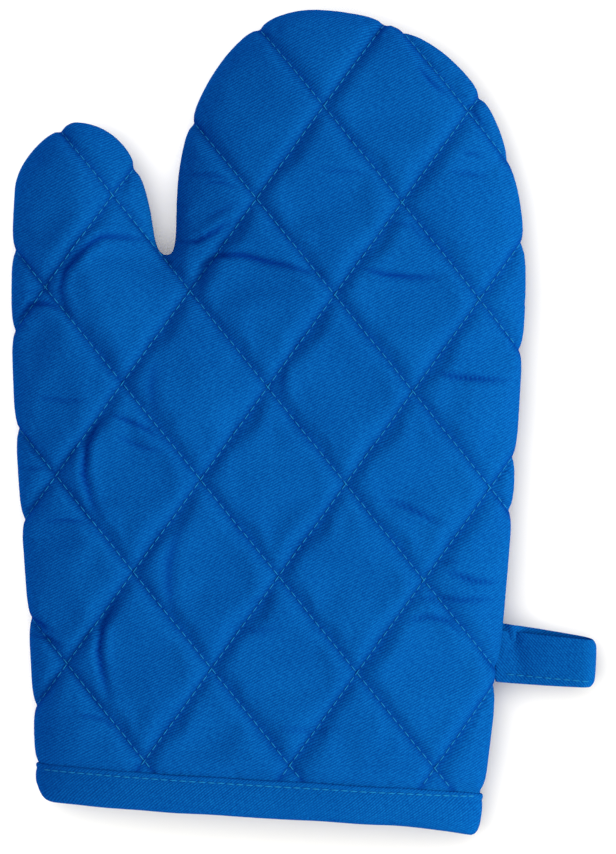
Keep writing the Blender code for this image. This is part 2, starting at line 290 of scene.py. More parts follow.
def nearest_seam(points):
    """How far points in plan lie from the side seam, and the directions from it to them."""
    distance = np.full(len(points), 1.0)
    away = np.zeros((len(points), 2))
    for start, along in zip(SEAM[:-1], SEAM[1:] - SEAM[:-1]):
        share = np.clip((points - start) @ along / (along @ along), 0.0, 1.0)
        offset = points - start - share[:, None] * along
        length = np.linalg.norm(offset, axis=1)
        closer = length < distance
        distance[closer] = length[closer]
        away[closer] = offset[closer] / np.maximum(length[closer], 1e-9)[:, None]
    return distance, away


def rounded(distance, reach):
    """0 at no distance, 1 from `reach` on, as a quarter of an ellipse."""
    return np.sqrt(1 - (1 - np.clip(distance / reach, 0.0, 1.0)) ** 2)


def dome_height(side, distance, depth=0.0):
    """Height of a panel's dome at distances from its edge, `depth` under its cloth at the quilting."""
    outward, crown, reach, _ = SIDES[side]
    rise = (crown - depth) * rounded(distance - depth, reach - depth)
    return seam_height + outward * rise


def quilt_place(points):
    """Where points in plan stand in the quilting: its two families of lines run along the whole numbers."""
    across, down = np.linalg.solve(np.column_stack((QUILT_ACROSS, QUILT_DOWN)), (points - QUILT_ORIGIN).T)
    return (across + down + 1) / 2, (across - down + 1) / 2


def quilt_spacing(family):
    """The distance between neighbouring lines of a family, and the unit vector across them."""
    along = QUILT_ACROSS - QUILT_DOWN if family == 0 else QUILT_ACROSS + QUILT_DOWN
    area = 2 * abs(QUILT_ACROSS[0] * QUILT_DOWN[1] - QUILT_ACROSS[1] * QUILT_DOWN[0])
    length = np.linalg.norm(along)
    across = np.array((-along[1], along[0])) / length
    ahead = quilt_place(np.array([QUILT_ORIGIN + across * 0.001, QUILT_ORIGIN]))[family]
    return area / length, across if ahead[0] > ahead[1] else -across


def flat_panel(tuck, rings, cuts, weld):
    """One flat panel `tuck` inside the seam, ringed along its edge, cut along and between its quilting."""

    def cut(place, direction, clear=False):
        bmesh.ops.bisect_plane(
            bm,
            geom=[*bm.verts, *bm.edges, *bm.faces],
            dist=1e-6,
            plane_co=(*place, 0.0),
            plane_no=(*direction, 0.0),
            clear_outer=clear,
        )

    bm = bmesh.new()
    verts = [bm.verts.new((*point, 0.0)) for point in SEAM]
    for start, end in zip(verts, verts[1:] + verts[:1]):
        bm.edges.new((start, end))
    bmesh.ops.contextual_create(bm, geom=bm.edges[:])
    inner = bm.faces[:]
    bmesh.ops.inset_region(bm, faces=inner, thickness=tuck, use_boundary=True, use_even_offset=True)
    bmesh.ops.delete(bm, geom=[face for face in bm.faces if face not in inner], context="FACES")
    for width in rings:
        bmesh.ops.inset_region(bm, faces=inner, thickness=width, use_boundary=True, use_even_offset=True)
    for family in (0, 1):
        spacing, across = quilt_spacing(family)
        places = quilt_place(SEAM)[family]
        for line in range(int(np.floor(places.min() * cuts)), int(np.ceil(places.max() * cuts)) + 1):
            origin = quilt_place(QUILT_ORIGIN[None])[family][0]
            point = QUILT_ORIGIN + across * spacing * (line / cuts - origin)
            cut(point, across)
    for y in (binding_top_y - 0.0005, binding_top_y + 0.0006):
        cut((0.0, y), (0.0, 1.0))
    # It ends inside the binding, and the left corner is cut off where the binding is rounded.
    cut((0.0, panel_end_y), (0.0, -1.0), clear=True)
    cut((CUFF_LEFT, cuff_y + CORNER_CUT), (-1.0, -1.0), clear=True)
    bmesh.ops.remove_doubles(bm, verts=bm.verts[:], dist=weld)
    bmesh.ops.triangulate(bm, faces=[face for face in bm.faces if len(face.verts) > 5])
    bm.normal_update()
    for face in bm.faces:
        if face.normal.z < 0:
            face.normal_flip()
    return bm


def plan_points(bm):
    return np.array([vert.co[:2] for vert in bm.verts])


THUMB_FOLD_POINT = Vector((-0.04762, 0.06745, 0.0))
THUMB_FOLD_ACROSS = Vector((-0.84339, 0.53730, 0.0))
THUMB_FOLD_START, THUMB_FOLD_END = -0.0075, 0.0200  # how far before and past the fold line the cloth bends


def thumb_side(points):
    """Which points in plan are in the thumb's part of a panel, up to two quilting lines and the crotch."""
    first, second = quilt_place(points)
    past_fold = (points - THUMB_FOLD_POINT.xy) @ np.array(THUMB_FOLD_ACROSS.xy) > THUMB_FOLD_START - 0.0005
    return (first < 2) & ((second < 0) | (past_fold & (points[:, 0] < CROTCH[0])))


def mark_thumb_side(bm):
    centres = np.array([face.calc_center_median()[:2] for face in bm.faces])
    for face, on_thumb in zip(bm.faces, thumb_side(centres)):
        face.material_index = int(on_thumb)


def keep_part(bm, index):
    """Leaves only the hand's part of a marked panel (index 0), or only the thumb's (index 1)."""
    others = [face for face in bm.faces if face.material_index != index]
    bmesh.ops.delete(bm, geom=others, context="FACES")
    for face in bm.faces:
        face.material_index = 0


def add_cloth_map(bm, side):
    """Gives the cloth its own flat coordinates in metres, let out down the steep edge, for its weave."""
    points = plan_points(bm)
    distance, away = nearest_seam(points)
    steps = np.linspace(0.0, 0.014, 141)
    slope = np.hypot(np.diff(steps), np.diff(dome_height(side, steps)))
    let_out = np.append(np.cumsum((slope - np.diff(steps))[::-1])[::-1], 0.0)
    flat = points - away * np.interp(distance, steps, let_out)[:, None]
    layer = bm.loops.layers.uv.new("cloth")
    bm.verts.index_update()
    for face in bm.faces:
        for loop in face.loops:
            loop[layer].uv = flat[loop.vert.index]


def quilt_gaps(points):
    """How far points in plan lie from the nearest quilting line of each family."""
    places = quilt_place(points)
    return [np.abs(places[k] - np.round(places[k])) * quilt_spacing(k)[0] for k in (0, 1)]


def shape_cloth(bm, side):
    """Moves a flat panel's points onto its dome and out into the quilted puffs. Returns which are held."""
    outward, _, _, puff = SIDES[side]
    points = plan_points(bm)
    distance, _ = nearest_seam(points)
    distance = np.maximum(distance - SEAM_TUCK, 0.0)
    at_seam = np.array([vert.is_boundary for vert in bm.verts]) & (distance < 0.0006)
    distance[at_seam] = 0.0  # both panels keep the very same edge, where they are sewn together
    gap_first, gap_second = quilt_gaps(points)
    heights = dome_height(side, distance)
    for vert, height in zip(bm.verts, heights):
        vert.co.z = height
    if outward < 0:
        bmesh.ops.reverse_faces(bm, faces=bm.faces[:])
    bm.normal_update()
    run = np.hypot(distance, heights - seam_height)
    above_binding = points[:, 1] - binding_top_y
    lift = rounded(gap_first, PUFF_SHOULDER) * rounded(gap_second, PUFF_SHOULDER)
    lift = lift * rounded(run, PUFF_AT_SEAM) * rounded(above_binding, PUFF_AT_CUFF)
    for vert, share in zip(bm.verts, lift):
        vert.co += vert.normal * puff * share
    stitched = (gap_first < 1e-4) | (gap_second < 1e-4)
    return stitched | (distance < SEAM_GRIP) | (above_binding < CUFF_GRIP)


FILL_STEPS = 24
FILL_PRESSURE = {"front": 4.0, "back": 0.5}
FILL_GROWTH = 0.015  # how much wider the cloth is than the wadding it is quilted to


def fill_out(obj, held, pressure):
    """Lets the cloth swell and pucker between the places where it is held, and keeps the shape it takes."""
    rest = np.array([vert.co for vert in obj.data.vertices])
    group = obj.vertex_groups.new(name="held")
    group.add([int(index) for index in np.flatnonzero(held)], 1.0, "ADD")
    cloth = obj.modifiers.new("fill", "CLOTH")
    settings = cloth.settings
    settings.quality = 6
    settings.mass = 0.25
    settings.tension_stiffness = 25.0
    settings.compression_stiffness = 25.0
    settings.shear_stiffness = 15.0
    settings.bending_stiffness = 1.2
    settings.tension_damping = 15.0
    settings.compression_damping = 15.0
    settings.shear_damping = 15.0
    settings.bending_damping = 2.0
    settings.air_damping = 4.0
    settings.vertex_group_mass = "held"
    settings.use_pressure = True
    settings.uniform_pressure_force = pressure
    settings.shrink_min = -FILL_GROWTH
    settings.effector_weights.gravity = 0.0
    cloth.collision_settings.use_collision = False
    cloth.point_cache.frame_start, cloth.point_cache.frame_end = 1, FILL_STEPS
    for step in range(1, FILL_STEPS + 1):
        bpy.context.scene.frame_set(step)
    bpy.context.view_layer.objects.active = obj
    bpy.ops.object.modifier_apply(modifier="fill")
    bpy.context.scene.frame_set(1)
    obj.vertex_groups.clear()
    moved = np.array([vert.co for vert in obj.data.vertices]) - rest
    length = np.linalg.norm(moved, axis=1)
    moved *= np.minimum(1.0, CLOTH_CAP / np.maximum(length, 1e-9))[:, None]
    obj.data.vertices.foreach_set("co", (rest + moved).ravel())


# Where the cloth has creased since it was sewn: how deep and how wide each crease is, and the points that
# it runs through, all in millimetres. The back panel's are one diamond over, and fainter.
CREASES = (
    (1.3, 1.25, ((-44, 65), (-52, 65.5), (-60, 65), (-66, 60.5), (-72, 53), (-73, 46), (-70, 38))),
    (1.0, 1.1, ((-34, 65), (-28, 65.5), (-22, 69), (-17, 73))),
    (0.6, 1.0, ((-32, 88), (-23, 88), (-19, 87))),
    (0.5, 0.95, ((-27, 85.5), (-21, 85.5), (-15, 84.5))),
    (0.4, 1.05, ((-26, 73), (-15, 79))),
    (1.3, 1.25, ((-26, 49), (-25.5, 57), (-21, 61.5), (-12, 61.5), (-5, 60), (5, 58.5), (14, 56.5))),
    (0.3, 0.95, ((-87, 44.5), (-78, 46))),
    (0.8, 1.15, ((-87, 36), (-83, 41), (-77, 41.5), (-70, 39))),
    (1.3, 1.25, ((-55, 6), (-58, 2), (-61, -5), (-61, -15), (-58, -24), (-55, -29))),
    (0.7, 1.1, ((-54, 6), (-47, 3.5), (-40, 1), (-37, -2))),
    (0.5, 1.1, ((-50, -2), (-42, -5), (-36, -6))),
    (1.3, 1.25, ((-48, -57), (-52, -66), (-52.5, -75), (-50.5, -82), (-48, -90))),
    (0.4, 1.05, ((-80, 10), (-70, 9), (-61, 9.5))),
    (0.5, 1.0, ((-82, -14.5), (-73, -14))),
    (0.5, 1.0, ((-81, -8), (-75, -11.5))),
    (0.5, 1.05, ((-73, -32), (-65, -31), (-59, -31.5))),
    (0.5, 2.0, ((-27, -29), (-30.5, -42), (-30, -52), (-28, -62))),
    (0.4, 2.0, ((-39, 24), (-40, 15), (-38, 6))),
    (0.8, 1.1, ((-79, -64), (-74, -66), (-69, -69.5))),
    (0.6, 1.05, ((-76, -71), (-70, -71.5), (-65, -74))),
    (0.4, 1.6, ((3, 25), (4, 14))),
    (0.8, 1.15, ((27, 60), (35, 58), (45, 57.5), (54, 58))),
    (0.4, 1.1, ((35, 75), (43, 75.5), (50, 70))),
    (0.4, 1.05, ((59, 101), (67, 100))),
    (0.4, 1.05, ((56, 94), (69, 93.5))),
    (0.3, 1.05, ((12, 92), (28, 91))),
    (0.7, 1.05, ((43, 129), (48, 124), (53, 120))),
    (0.6, 1.0, ((60, 118), (67, 110))),
    (0.9, 1.1, ((54, 26.5), (62, 25), (70, 25), (80, 25))),
    (0.7, 1.1, ((40, -17.5), (48, -19.5), (55, -22.5), (60, -25))),
    (0.5, 1.0, ((59, -37), (67, -37))),
    (0.8, 1.05, ((62, -40), (72, -43), (80, -43.5))),
    (0.7, 1.05, ((53, -50.5), (61, -49.5), (68, -50), (79, -49))),
    (0.7, 1.1, ((50, -58), (57, -56), (65, -57), (69, -61))),
    (0.4, 1.05, ((-3, -55), (4, -53))),
    (0.4, 1.15, ((-9, -63), (0, -64), (8, -63))),
    (0.5, 1.05, ((-60, -96), (-50, -97), (-43, -101))),
    (0.5, 1.05, ((10, -96), (20, -97), (28, -95))),
)


def crease_cloth(obj, side):
    """Presses the creases into a panel's cloth, and marks how deep in a crease each point is, as a mask for
    the painted shade in the folds.
    """
    mesh = obj.data
    points = np.array([vert.co for vert in mesh.vertices])
    normals = np.array([datum.vector for datum in mesh.vertex_normals])
    shift = np.zeros(2) if side == "front" else QUILT_ACROSS + QUILT_DOWN
    strength = 1.0 if side == "front" else 0.5
    sunk, marked = np.zeros(len(points)), np.zeros(len(points))
    for depth, width, path in CREASES:
        path = np.array(path) * 0.001 + shift
        lengths = np.linalg.norm(np.diff(path, axis=0), axis=1)
        runs = np.append(0.0, np.cumsum(lengths))
        distance, run = np.full(len(points), 1.0), np.zeros(len(points))
        for start, along, length, before in zip(path, np.diff(path, axis=0), lengths, runs):
            share = np.clip((points[:, :2] - start) @ along / length**2, 0.0, 1.0)
            gap = np.linalg.norm(points[:, :2] - start - share[:, None] * along, axis=1)
            run = np.where(gap < distance, before + share * length, run)
            distance = np.minimum(distance, gap)
        fade = np.sin(np.clip(run / runs[-1], 0.03, 0.97) * pi) ** 0.6
        reach = distance / (width * 0.001)
        groove = np.exp(-(reach**2)) - 0.45 * np.exp(-((reach - 2.0) ** 2))
        sunk += depth * 0.001 * strength * fade * groove
        bottom = np.exp(-((reach / 0.75) ** 2))
        marked = np.maximum(marked, min(depth * 1.1, 1.0) * strength * fade * bottom)
    edge, _ = nearest_seam(points[:, :2])
    sunk *= rounded(edge - SEAM_TUCK - 0.002, 0.009) * rounded(points[:, 1] - binding_top_y - 0.0006, 0.004)
    mesh.vertices.foreach_set("co", (points - normals * sunk[:, None]).ravel())
    # The crease mark is painted shade: the twill is painted darker along the folds.
    mesh.attributes.new("crease", "FLOAT", "POINT").data.foreach_set("value", marked)


def finer(obj):
    """One level of subdivision, applied."""
    modifier = obj.modifiers.new("finer", "SUBSURF")
    modifier.levels = modifier.render_levels = 1
    bpy.context.view_layer.objects.active = obj
    bpy.ops.object.modifier_apply(modifier="finer")


def thicken(obj, thickness):
    """Gives a sheet its thickness, inwards from its outer face."""
    normals = np.array([datum.vector for datum in obj.data.attributes["whole_normal"].data])
    modifier = obj.modifiers.new("thickness", "SOLIDIFY")
    modifier.thickness = thickness
    modifier.offset = -1.0
    bpy.context.view_layer.objects.active = obj
    bpy.ops.object.modifier_apply(modifier="thickness")
    obj.data.normals_split_custom_set_from_vertices(np.concatenate((normals, -normals)))
    obj.data.attributes.remove(obj.data.attributes["whole_normal"])


def split_at_thumb(obj, body_name, thumb_name, finish):
    """Two pieces from one panel, parted beside the thumb, each shaded as the whole was."""
    normals = np.array([datum.vector for datum in obj.data.vertex_normals])
    kept = obj.data.attributes.new("whole_normal", "FLOAT_VECTOR", "POINT")
    kept.data.foreach_set("vector", normals.ravel())
    parted = []
    for name, index in ((body_name, 0), (thumb_name, 1)):
        bm = bmesh.new()
        bm.from_mesh(obj.data)
        keep_part(bm, index)
        parted.append(new_object(name, bm, finish))
    bpy.data.objects.remove(obj)
    return parted


def surface_of(obj):
    """The object's surface, for finding where a straight line meets it."""
    points = [vert.co for vert in obj.data.vertices]
    return BVHTree.FromPolygons(points, [polygon.vertices for polygon in obj.data.polygons])


def bend_with_fingers(piece):
    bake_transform(piece)


def bend_with_thumb(piece):
    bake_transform(piece)


SHELL_BLUE = (0.0014, 0.0750, 0.3850)
SHELL_DEEP = (0.0005, 0.0400, 0.2750)
SHELL_PALE = (0.0032, 0.1240, 0.5150)
# painted shade: the deeper blue that the cloth is painted along its quilting lines and in its folds, where
# shade falls
CREASE_SHADE_BLUE = (0.0004, 0.0180, 0.2500)
CREASE_REACH = 0.0028  # how far from a quilting line the cloth puckers and is painted darker with shade
PUCKER_LENGTH = 0.0032


def twill(finish, angle, pitch):
    """The ribs of a twill at an angle, from 0 between two ribs to 1 on top of one, broken into yarns."""
    place = finish.node("ShaderNodeUVMap", {"uv_map": "cloth"}, {})
    wander = finish.noise(place, 70.0)
    turned = finish.node("ShaderNodeMapping", {}, {"Vector": place, "Rotation": (0.0, 0.0, -angle)})
    split = finish.node("ShaderNodeSeparateXYZ", {}, {"Vector": turned})
    across = Wire(finish, split.socket.node.outputs[1]) * (1 / pitch) + wander * 1.2
    along = split * (1 / (1.35 * pitch)) + across.math("FLOOR") * 0.37
    rib = (across * pi).math("SINE").math("ABSOLUTE")
    yarn = (along * pi).math("SINE").math("ABSOLUTE")
    drawn_out = finish.node("ShaderNodeMapping", {}, {"Vector": turned, "Scale": (650.0, 1500.0, 1.0)})
    return place, rib, yarn, finish.noise(drawn_out, 1.0, 1.0)


def twill_finish(name, colours, angle, pitch, depth, quilted=False):
    """Cotton twill: ribs that catch the light, darker between them, with a slight unevenness in the dye."""
    deep, middle, pale = colours
    finish = Finish(name, middle, 0.82)
    finish.shader.inputs["Specular IOR Level"].default_value = 0.0
    place, rib, yarn, flecks = twill(finish, angle, pitch)
    weave = rib * (yarn * 0.45 + 0.55)
    cloudy = finish.noise(place, 45.0, 3.0)
    shade = (weave * 0.58 + cloudy * 0.30 + flecks * 0.90 - 0.36).clamped()
    dark = finish.mixed((shade * 2.0).clamped(), deep, middle)
    colour = finish.mixed((shade * 2.0 - 1.0).clamped(), dark, pale)
    relief = weave * 0.8 + flecks * 0.6
    if quilted:
        near, pucker = quilting_creases(finish, place)
        # The crease mark gives the painted shade in the folds.
        fold_shade = finish.node("ShaderNodeAttribute", {"attribute_name": "crease"}, {}, output=2)
        # Painted shade: the cloth is painted a deeper blue close to the quilting lines and in the folds,
        # where shade falls.
        colour = finish.mixed((near * 0.60).math("MAXIMUM", fold_shade * 0.90), colour, CREASE_SHADE_BLUE)
        relief = relief + pucker * 0.35
    finish.drive("Base Color", colour)
    finish.drive("Roughness", 0.90 - weave * 0.12)
    finish.bump(relief, depth)
    return finish


def quilting_creases(finish, place):
    """How near a quilting line the cloth is, as a mask for the painted shade along the lines, and the small
    puckers that its stitches draw up there.
    """
    split = finish.node("ShaderNodeSeparateXYZ", {}, {"Vector": place})
    across_y = Wire(finish, split.socket.node.outputs[1])
    near, pucker = None, None
    for family in (0, 1):
        spacing, across = quilt_spacing(family)
        origin = quilt_place(np.zeros((1, 2)))[family][0]
        line = split * float(across[0] / spacing) + across_y * float(across[1] / spacing) + float(origin)
        gap = ((line + 0.5).math("FRACT") - 0.5).math("ABSOLUTE")
        close = (1.0 - gap * float(spacing / CREASE_REACH)).clamped()
        along = split * float(across[1]) - across_y * float(across[0])
        drawn = (along * (2 * pi / PUCKER_LENGTH)).math("SINE") * close * close
        near = close if near is None else near.math("MAXIMUM", close)
        pucker = drawn if pucker is None else pucker + drawn
    return near * near, pucker


shell_finish = twill_finish(
    "shell_twill_cloth", (SHELL_DEEP, SHELL_BLUE, SHELL_PALE), radians(30.0), 0.00082, 0.00015, quilted=True
)

plan = flat_panel(SEAM_TUCK, EDGE_RINGS, CLOTH_CUTS, 0.00012)
mark_thumb_side(plan)
surfaces = {}
for side in SIDES:
    bm = plan.copy()
    add_cloth_map(bm, side)
    held = shape_cloth(bm, side)
    cloth = new_object(f"{side}_cloth", bm, shell_finish)
    fill_out(cloth, held, FILL_PRESSURE[side])
    finer(cloth)
    crease_cloth(cloth, side)
    if side == "back":
        flat = np.array([vert.co for vert in cloth.data.vertices])
        flat[:, 2] = np.maximum(flat[:, 2], TABLE_GAP)
        cloth.data.vertices.foreach_set("co", flat.ravel())
    surfaces[side] = surface_of(cloth)
    body, thumb = split_at_thumb(cloth, f"{side}_cloth_hand", f"{side}_cloth_thumb", shell_finish)
    for piece, nodes, flat_size, area in (
        (body, (f"{side}_shell_hand", f"{side}_shell_fingers"), (0.175, 0.285), 0.0385),
        (thumb, (f"{side}_shell_thumb",), (0.070, 0.140), 0.0065),
    ):
        thicken(piece, CLOTH_THICKNESS)
        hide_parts(*nodes)
    bend_with_fingers(body)
    bend_with_thumb(thumb)
plan.free()

# The wadding -----------------------------------------------------------------------------------------
# A sheet of cotton wadding lies between each outer cloth and its lining. The quilting presses it flat along
# its lines, and it fills the puffs between them.

WADDING_SLACK = 0.0014  # how far it stays under the cloth
WADDING_INNER = 0.0022  # depth of its inner face under the cloth at the quilting
WADDING_TUCK = 0.0032
WADDING_OFF_WHITE = (0.80, 0.78, 0.72)
FROM_OUTSIDE = 0.2

wadding_finish = Finish("wadding_fibre", WADDING_OFF_WHITE, 0.95)
place = wadding_finish.node("ShaderNodeTexCoord", {}, {}, output=3)
fibres = wadding_finish.noise(place, 900.0, 4.0)
wadding_finish.drive("Base Color", wadding_finish.mixed(fibres, (0.62, 0.60, 0.55), (0.90, 0.89, 0.84)))
wadding_finish.bump(fibres, 0.0004)


def straight_onto(surface, x, y, outward):
    """The point and normal where a line from outside, straight through the panels, meets a surface."""
    start = Vector((x, y, outward * FROM_OUTSIDE))
    point, normal, _, _ = surface.ray_cast(start, Vector((0.0, 0.0, -outward)))
    return None if point is None else (point, normal)


plan = flat_panel(WADDING_TUCK, (0.0010, 0.0015), 8, 0.0003)
mark_thumb_side(plan)
for side, (outward, _, _, puff) in SIDES.items():
    for part, index in (("hand", 0), ("thumb", 1)):
        bm = plan.copy()
        keep_part(bm, index)
        inner = bm.verts[:]
        made = bmesh.ops.extrude_face_region(bm, geom=bm.faces[:])["geom"]
        outer = [item for item in made if isinstance(item, bmesh.types.BMVert)]
        points = np.array([vert.co[:2] for vert in outer])
        distance = nearest_seam(points)[0] - SEAM_TUCK
        gap_first, gap_second = quilt_gaps(points)
        lift = rounded(gap_first, PUFF_SHOULDER) * rounded(gap_second, PUFF_SHOULDER)
        lift *= rounded(distance - 0.002, 0.008) * rounded(points[:, 1] - binding_top_y - 0.001, 0.008)
        heights = dome_height(side, distance, WADDING_SLACK) + outward * 0.75 * puff * lift
        for vert, height in zip(outer, heights):
            found = straight_onto(surfaces[side], vert.co.x, vert.co.y, outward)
            if found is not None:
                height = outward * min(outward * height, outward * found[0].z - WADDING_SLACK)
            vert.co.z = height
        points = np.array([vert.co[:2] for vert in inner])
        distance = nearest_seam(points)[0] - SEAM_TUCK
        for vert, height in zip(inner, dome_height(side, distance, WADDING_INNER) + outward * 0.0001):
            vert.co.z = height
        bmesh.ops.recalc_face_normals(bm, faces=bm.faces[:])
        pad = new_object(f"{side}_pad_{part}", bm, wadding_finish)
        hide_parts(*[f"{side}_wadding_{body}" for body in (("hand", "fingers"), ("thumb",))[index]])
        (bend_with_fingers, bend_with_thumb)[index](pad)
plan.free()

# The lining ------------------------------------------------------------------------------------------
# Plain pale cotton lines each panel on the inside, held by the same quilting, so that it shows the diamonds
# in low relief. It is seen only through the open cuff.

LINING_DEPTH = 0.0026
LINING_RELIEF = 0.0012
LINING_TUCK = 0.0037
LINING_THICKNESS = 0.0004
LINING_PALE = (0.74, 0.73, 0.69)

lining_finish = Finish("lining_cotton_cloth", LINING_PALE, 0.88)
place = lining_finish.node("ShaderNodeUVMap", {"uv_map": "cloth"}, {})
threads = lining_finish.node("ShaderNodeMapping", {}, {"Vector": place, "Scale": (3600.0, 3600.0, 1.0)})
split = lining_finish.node("ShaderNodeSeparateXYZ", {}, {"Vector": threads})
rise = Wire(lining_finish, split.socket.node.outputs[1])
weave = split.math("SINE") * rise.math("SINE") * 0.5 + 0.5
cloudy = lining_finish.noise(place, 60.0, 3.0)
shade = (weave * 0.5 + cloudy * 0.5).clamped()
lining_finish.drive("Base Color", lining_finish.mixed(shade, (0.62, 0.61, 0.57), (0.84, 0.83, 0.79)))
lining_finish.bump(weave, 0.00010)

plan = flat_panel(LINING_TUCK, (0.0008, 0.0012), 8, 0.0003)
mark_thumb_side(plan)
for side, (outward, _, _, _) in SIDES.items():
    bm = plan.copy()
    add_cloth_map(bm, side)
    points = plan_points(bm)
    distance = nearest_seam(points)[0] - SEAM_TUCK
    gap_first, gap_second = quilt_gaps(points)
    relief = rounded(gap_first, PUFF_SHOULDER) * rounded(gap_second, PUFF_SHOULDER) * LINING_RELIEF
    relief *= rounded(distance - LINING_DEPTH, 0.008) * rounded(points[:, 1] - binding_top_y, 0.008)
    for vert, height in zip(bm.verts, dome_height(side, distance, LINING_DEPTH) - outward * relief):
        vert.co.z = height
    if outward > 0:
        bmesh.ops.reverse_faces(bm, faces=bm.faces[:])
    lining = new_object(f"{side}_lining", bm, lining_finish)
    finer(lining)
    names = [f"{side}_lining_cloth_{part}" for part in ("hand", "thumb")]
    body, thumb = split_at_thumb(lining, *names, lining_finish)
    for piece, nodes, flat_size, area in (
        (body, (f"{side}_lining_hand", f"{side}_lining_fingers"), (0.168, 0.278), 0.0350),
        (thumb, (f"{side}_lining_thumb",), (0.065, 0.130), 0.0050),
    ):
        thicken(piece, LINING_THICKNESS)
        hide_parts(*nodes)
    bend_with_fingers(body)
    bend_with_thumb(thumb)
plan.free()

# The quilting thread ---------------------------------------------------------------------------------
# Blue polyester thread, a little paler than the cloth, runs along every quilting line in stitches 3 mm
# long, sunk between the puffs. It is sewn through all the layers of its own panel.

STITCH_PERIOD = 0.0032
STITCH_LENGTH = 0.0027
THREAD_RADIUS = 0.00022
THREAD_STANDS = 0.6  # how far a stitch's middle stands off the cloth, in radii
PATH_STEP = 0.0005
QUILTING_INSET = 0.0014  # how near the side seam the quilting ends
THREAD_BLUE = (0.0070, 0.1500, 0.4600)

thread_finish = Finish("sewing_thread", THREAD_BLUE, 0.7)
thread_finish.shader.inputs["Specular IOR Level"].default_value = 0.05
place = thread_finish.node("ShaderNodeTexCoord", {}, {}, output=3)
twist = thread_finish.noise(place, 2500.0, 1.0)
twisted = thread_finish.mixed(twist, (0.0050, 0.1400, 0.4400), (0.0120, 0.2200, 0.6200))
thread_finish.drive("Base Color", twisted)
thread_finish.bump(twist, 0.00005)


def sew(bm, path, period, length, radius):
    """Adds stitches along a path of points and outward normals, each an elongated bead of thread."""
    points = [point for point, _ in path]
    runs = np.append(0.0, np.cumsum([(b - a).length for a, b in zip(points, points[1:])]))

    def at(run):
        index = min(int(np.searchsorted(runs, run, side="right")) - 1, len(points) - 2)
        share = (run - runs[index]) / max(runs[index + 1] - runs[index], 1e-9)
        return points[index].lerp(points[index + 1], share), path[index][1]

    row = bmesh.new()
    for start in np.arange(0.0002, runs[-1] - length, period):
        (first, normal), (second, _) = at(start), at(start + length)
        along = second - first
        turn = along.to_track_quat("Z", "Y").to_matrix().to_4x4()
        size = Matrix.Diagonal((radius, radius, along.length / 2, 1.0))
        place = Matrix.Translation((first + second) / 2 + normal * radius * THREAD_STANDS)
        bmesh.ops.create_uvsphere(row, u_segments=6, v_segments=4, radius=1.0, matrix=place @ turn @ size)
    mesh = bpy.data.meshes.new("row")
    row.to_mesh(mesh)
    row.free()
    bm.from_mesh(mesh)
    bpy.data.meshes.remove(mesh)


def quilting_path(side, family, line, surface):
    """Points and normals on the cloth along one quilting line, in runs that stay on the panel."""
    outward = SIDES[side][0]
    spacing, across = quilt_spacing(family)
    origin = quilt_place(QUILT_ORIGIN[None])[family][0]
    along = np.array((across[1], -across[0]))
    middle = QUILT_ORIGIN + across * spacing * (line - origin)
    spots = middle + np.arange(-0.40, 0.40, PATH_STEP)[:, None] * along
    inside = (nearest_seam(spots)[0] > QUILTING_INSET) & (spots[:, 1] > binding_top_y + 0.0006)
    inside &= spots[:, 1] < cad_high.y
    on_thumb = thumb_side(spots + 1e-5)
    runs, run, region = [], [], None
    for spot, kept, now in zip(spots, inside, on_thumb.tolist()):
        found = straight_onto(surface, *spot, outward) if kept else None
        if found is None or (run and now != region):
            if len(run) > 8:
                runs.append((region, run))
            run = []
        if found is not None:
            run.append(found)
            region = now
    if len(run) > 8:
        runs.append((region, run))
    return runs


for side in SIDES:
    seams = {False: bmesh.new(), True: bmesh.new()}
    for family, lines in ((0, range(0, 8)), (1, range(-5, 5))):
        for line in lines:
            for on_thumb, path in quilting_path(side, family, line, surfaces[side]):
                sew(seams[on_thumb], path, STITCH_PERIOD, STITCH_LENGTH, THREAD_RADIUS)
    for on_thumb, bm in seams.items():
        stitches = new_object(f"{side}_quilting_{'thumb' if on_thumb else 'hand'}", bm, thread_finish)
        (bend_with_thumb if on_thumb else bend_with_fingers)(stitches)

# The cuff binding ------------------------------------------------------------------------------------
# A strip of the same twill is folded over the raw edges of all the layers and topstitched through them just
# under its upper edge. It draws in a little where the puffs press on it.

BINDING_CORNER = 0.0060
BINDING_SAG = 0.0034  # how far the right corner hangs below the rest of the edge
SAG_REACH = 0.030
TOPSTITCH_INSET = 0.0021
RIPPLE = 0.0004

binding_finish = twill_finish(
    "binding_twill_cloth", (SHELL_DEEP, SHELL_BLUE, SHELL_PALE), radians(-42.0), 0.00080, 0.00018
)


def rolled(name, around, along, place, flat, finish, closed):
    """A grid rolled into a tube: place(u, v) gives each point and flat(u, v) its cloth coordinates."""
    bm = bmesh.new()
    bmesh.ops.create_grid(bm, x_segments=around, y_segments=along, size=0.5)
    layer = bm.loops.layers.uv.new("cloth")
    for face in bm.faces:
        for loop in face.loops:
            loop[layer].uv = flat(loop.vert.co.x + 0.5, loop.vert.co.y + 0.5)
    for vert in bm.verts:
        vert.co = place(vert.co.x + 0.5, vert.co.y + 0.5)
    bmesh.ops.remove_doubles(bm, verts=bm.verts[:], dist=1e-6)
    if not closed:
        bmesh.ops.holes_fill(bm, edges=[edge for edge in bm.edges if edge.is_boundary], sides=0)
    bmesh.ops.recalc_face_normals(bm, faces=bm.faces[:])
    return new_object(name, bm, finish)


def seam_x(y, right):
    """Where the side seam crosses a height in plan, below the thumb and fingers."""
    half = SEAM[: len(SEAM) // 4] if right else SEAM[: -len(SEAM) // 4 : -1]
    return float(np.interp(y, half[:, 1], half[:, 0]))


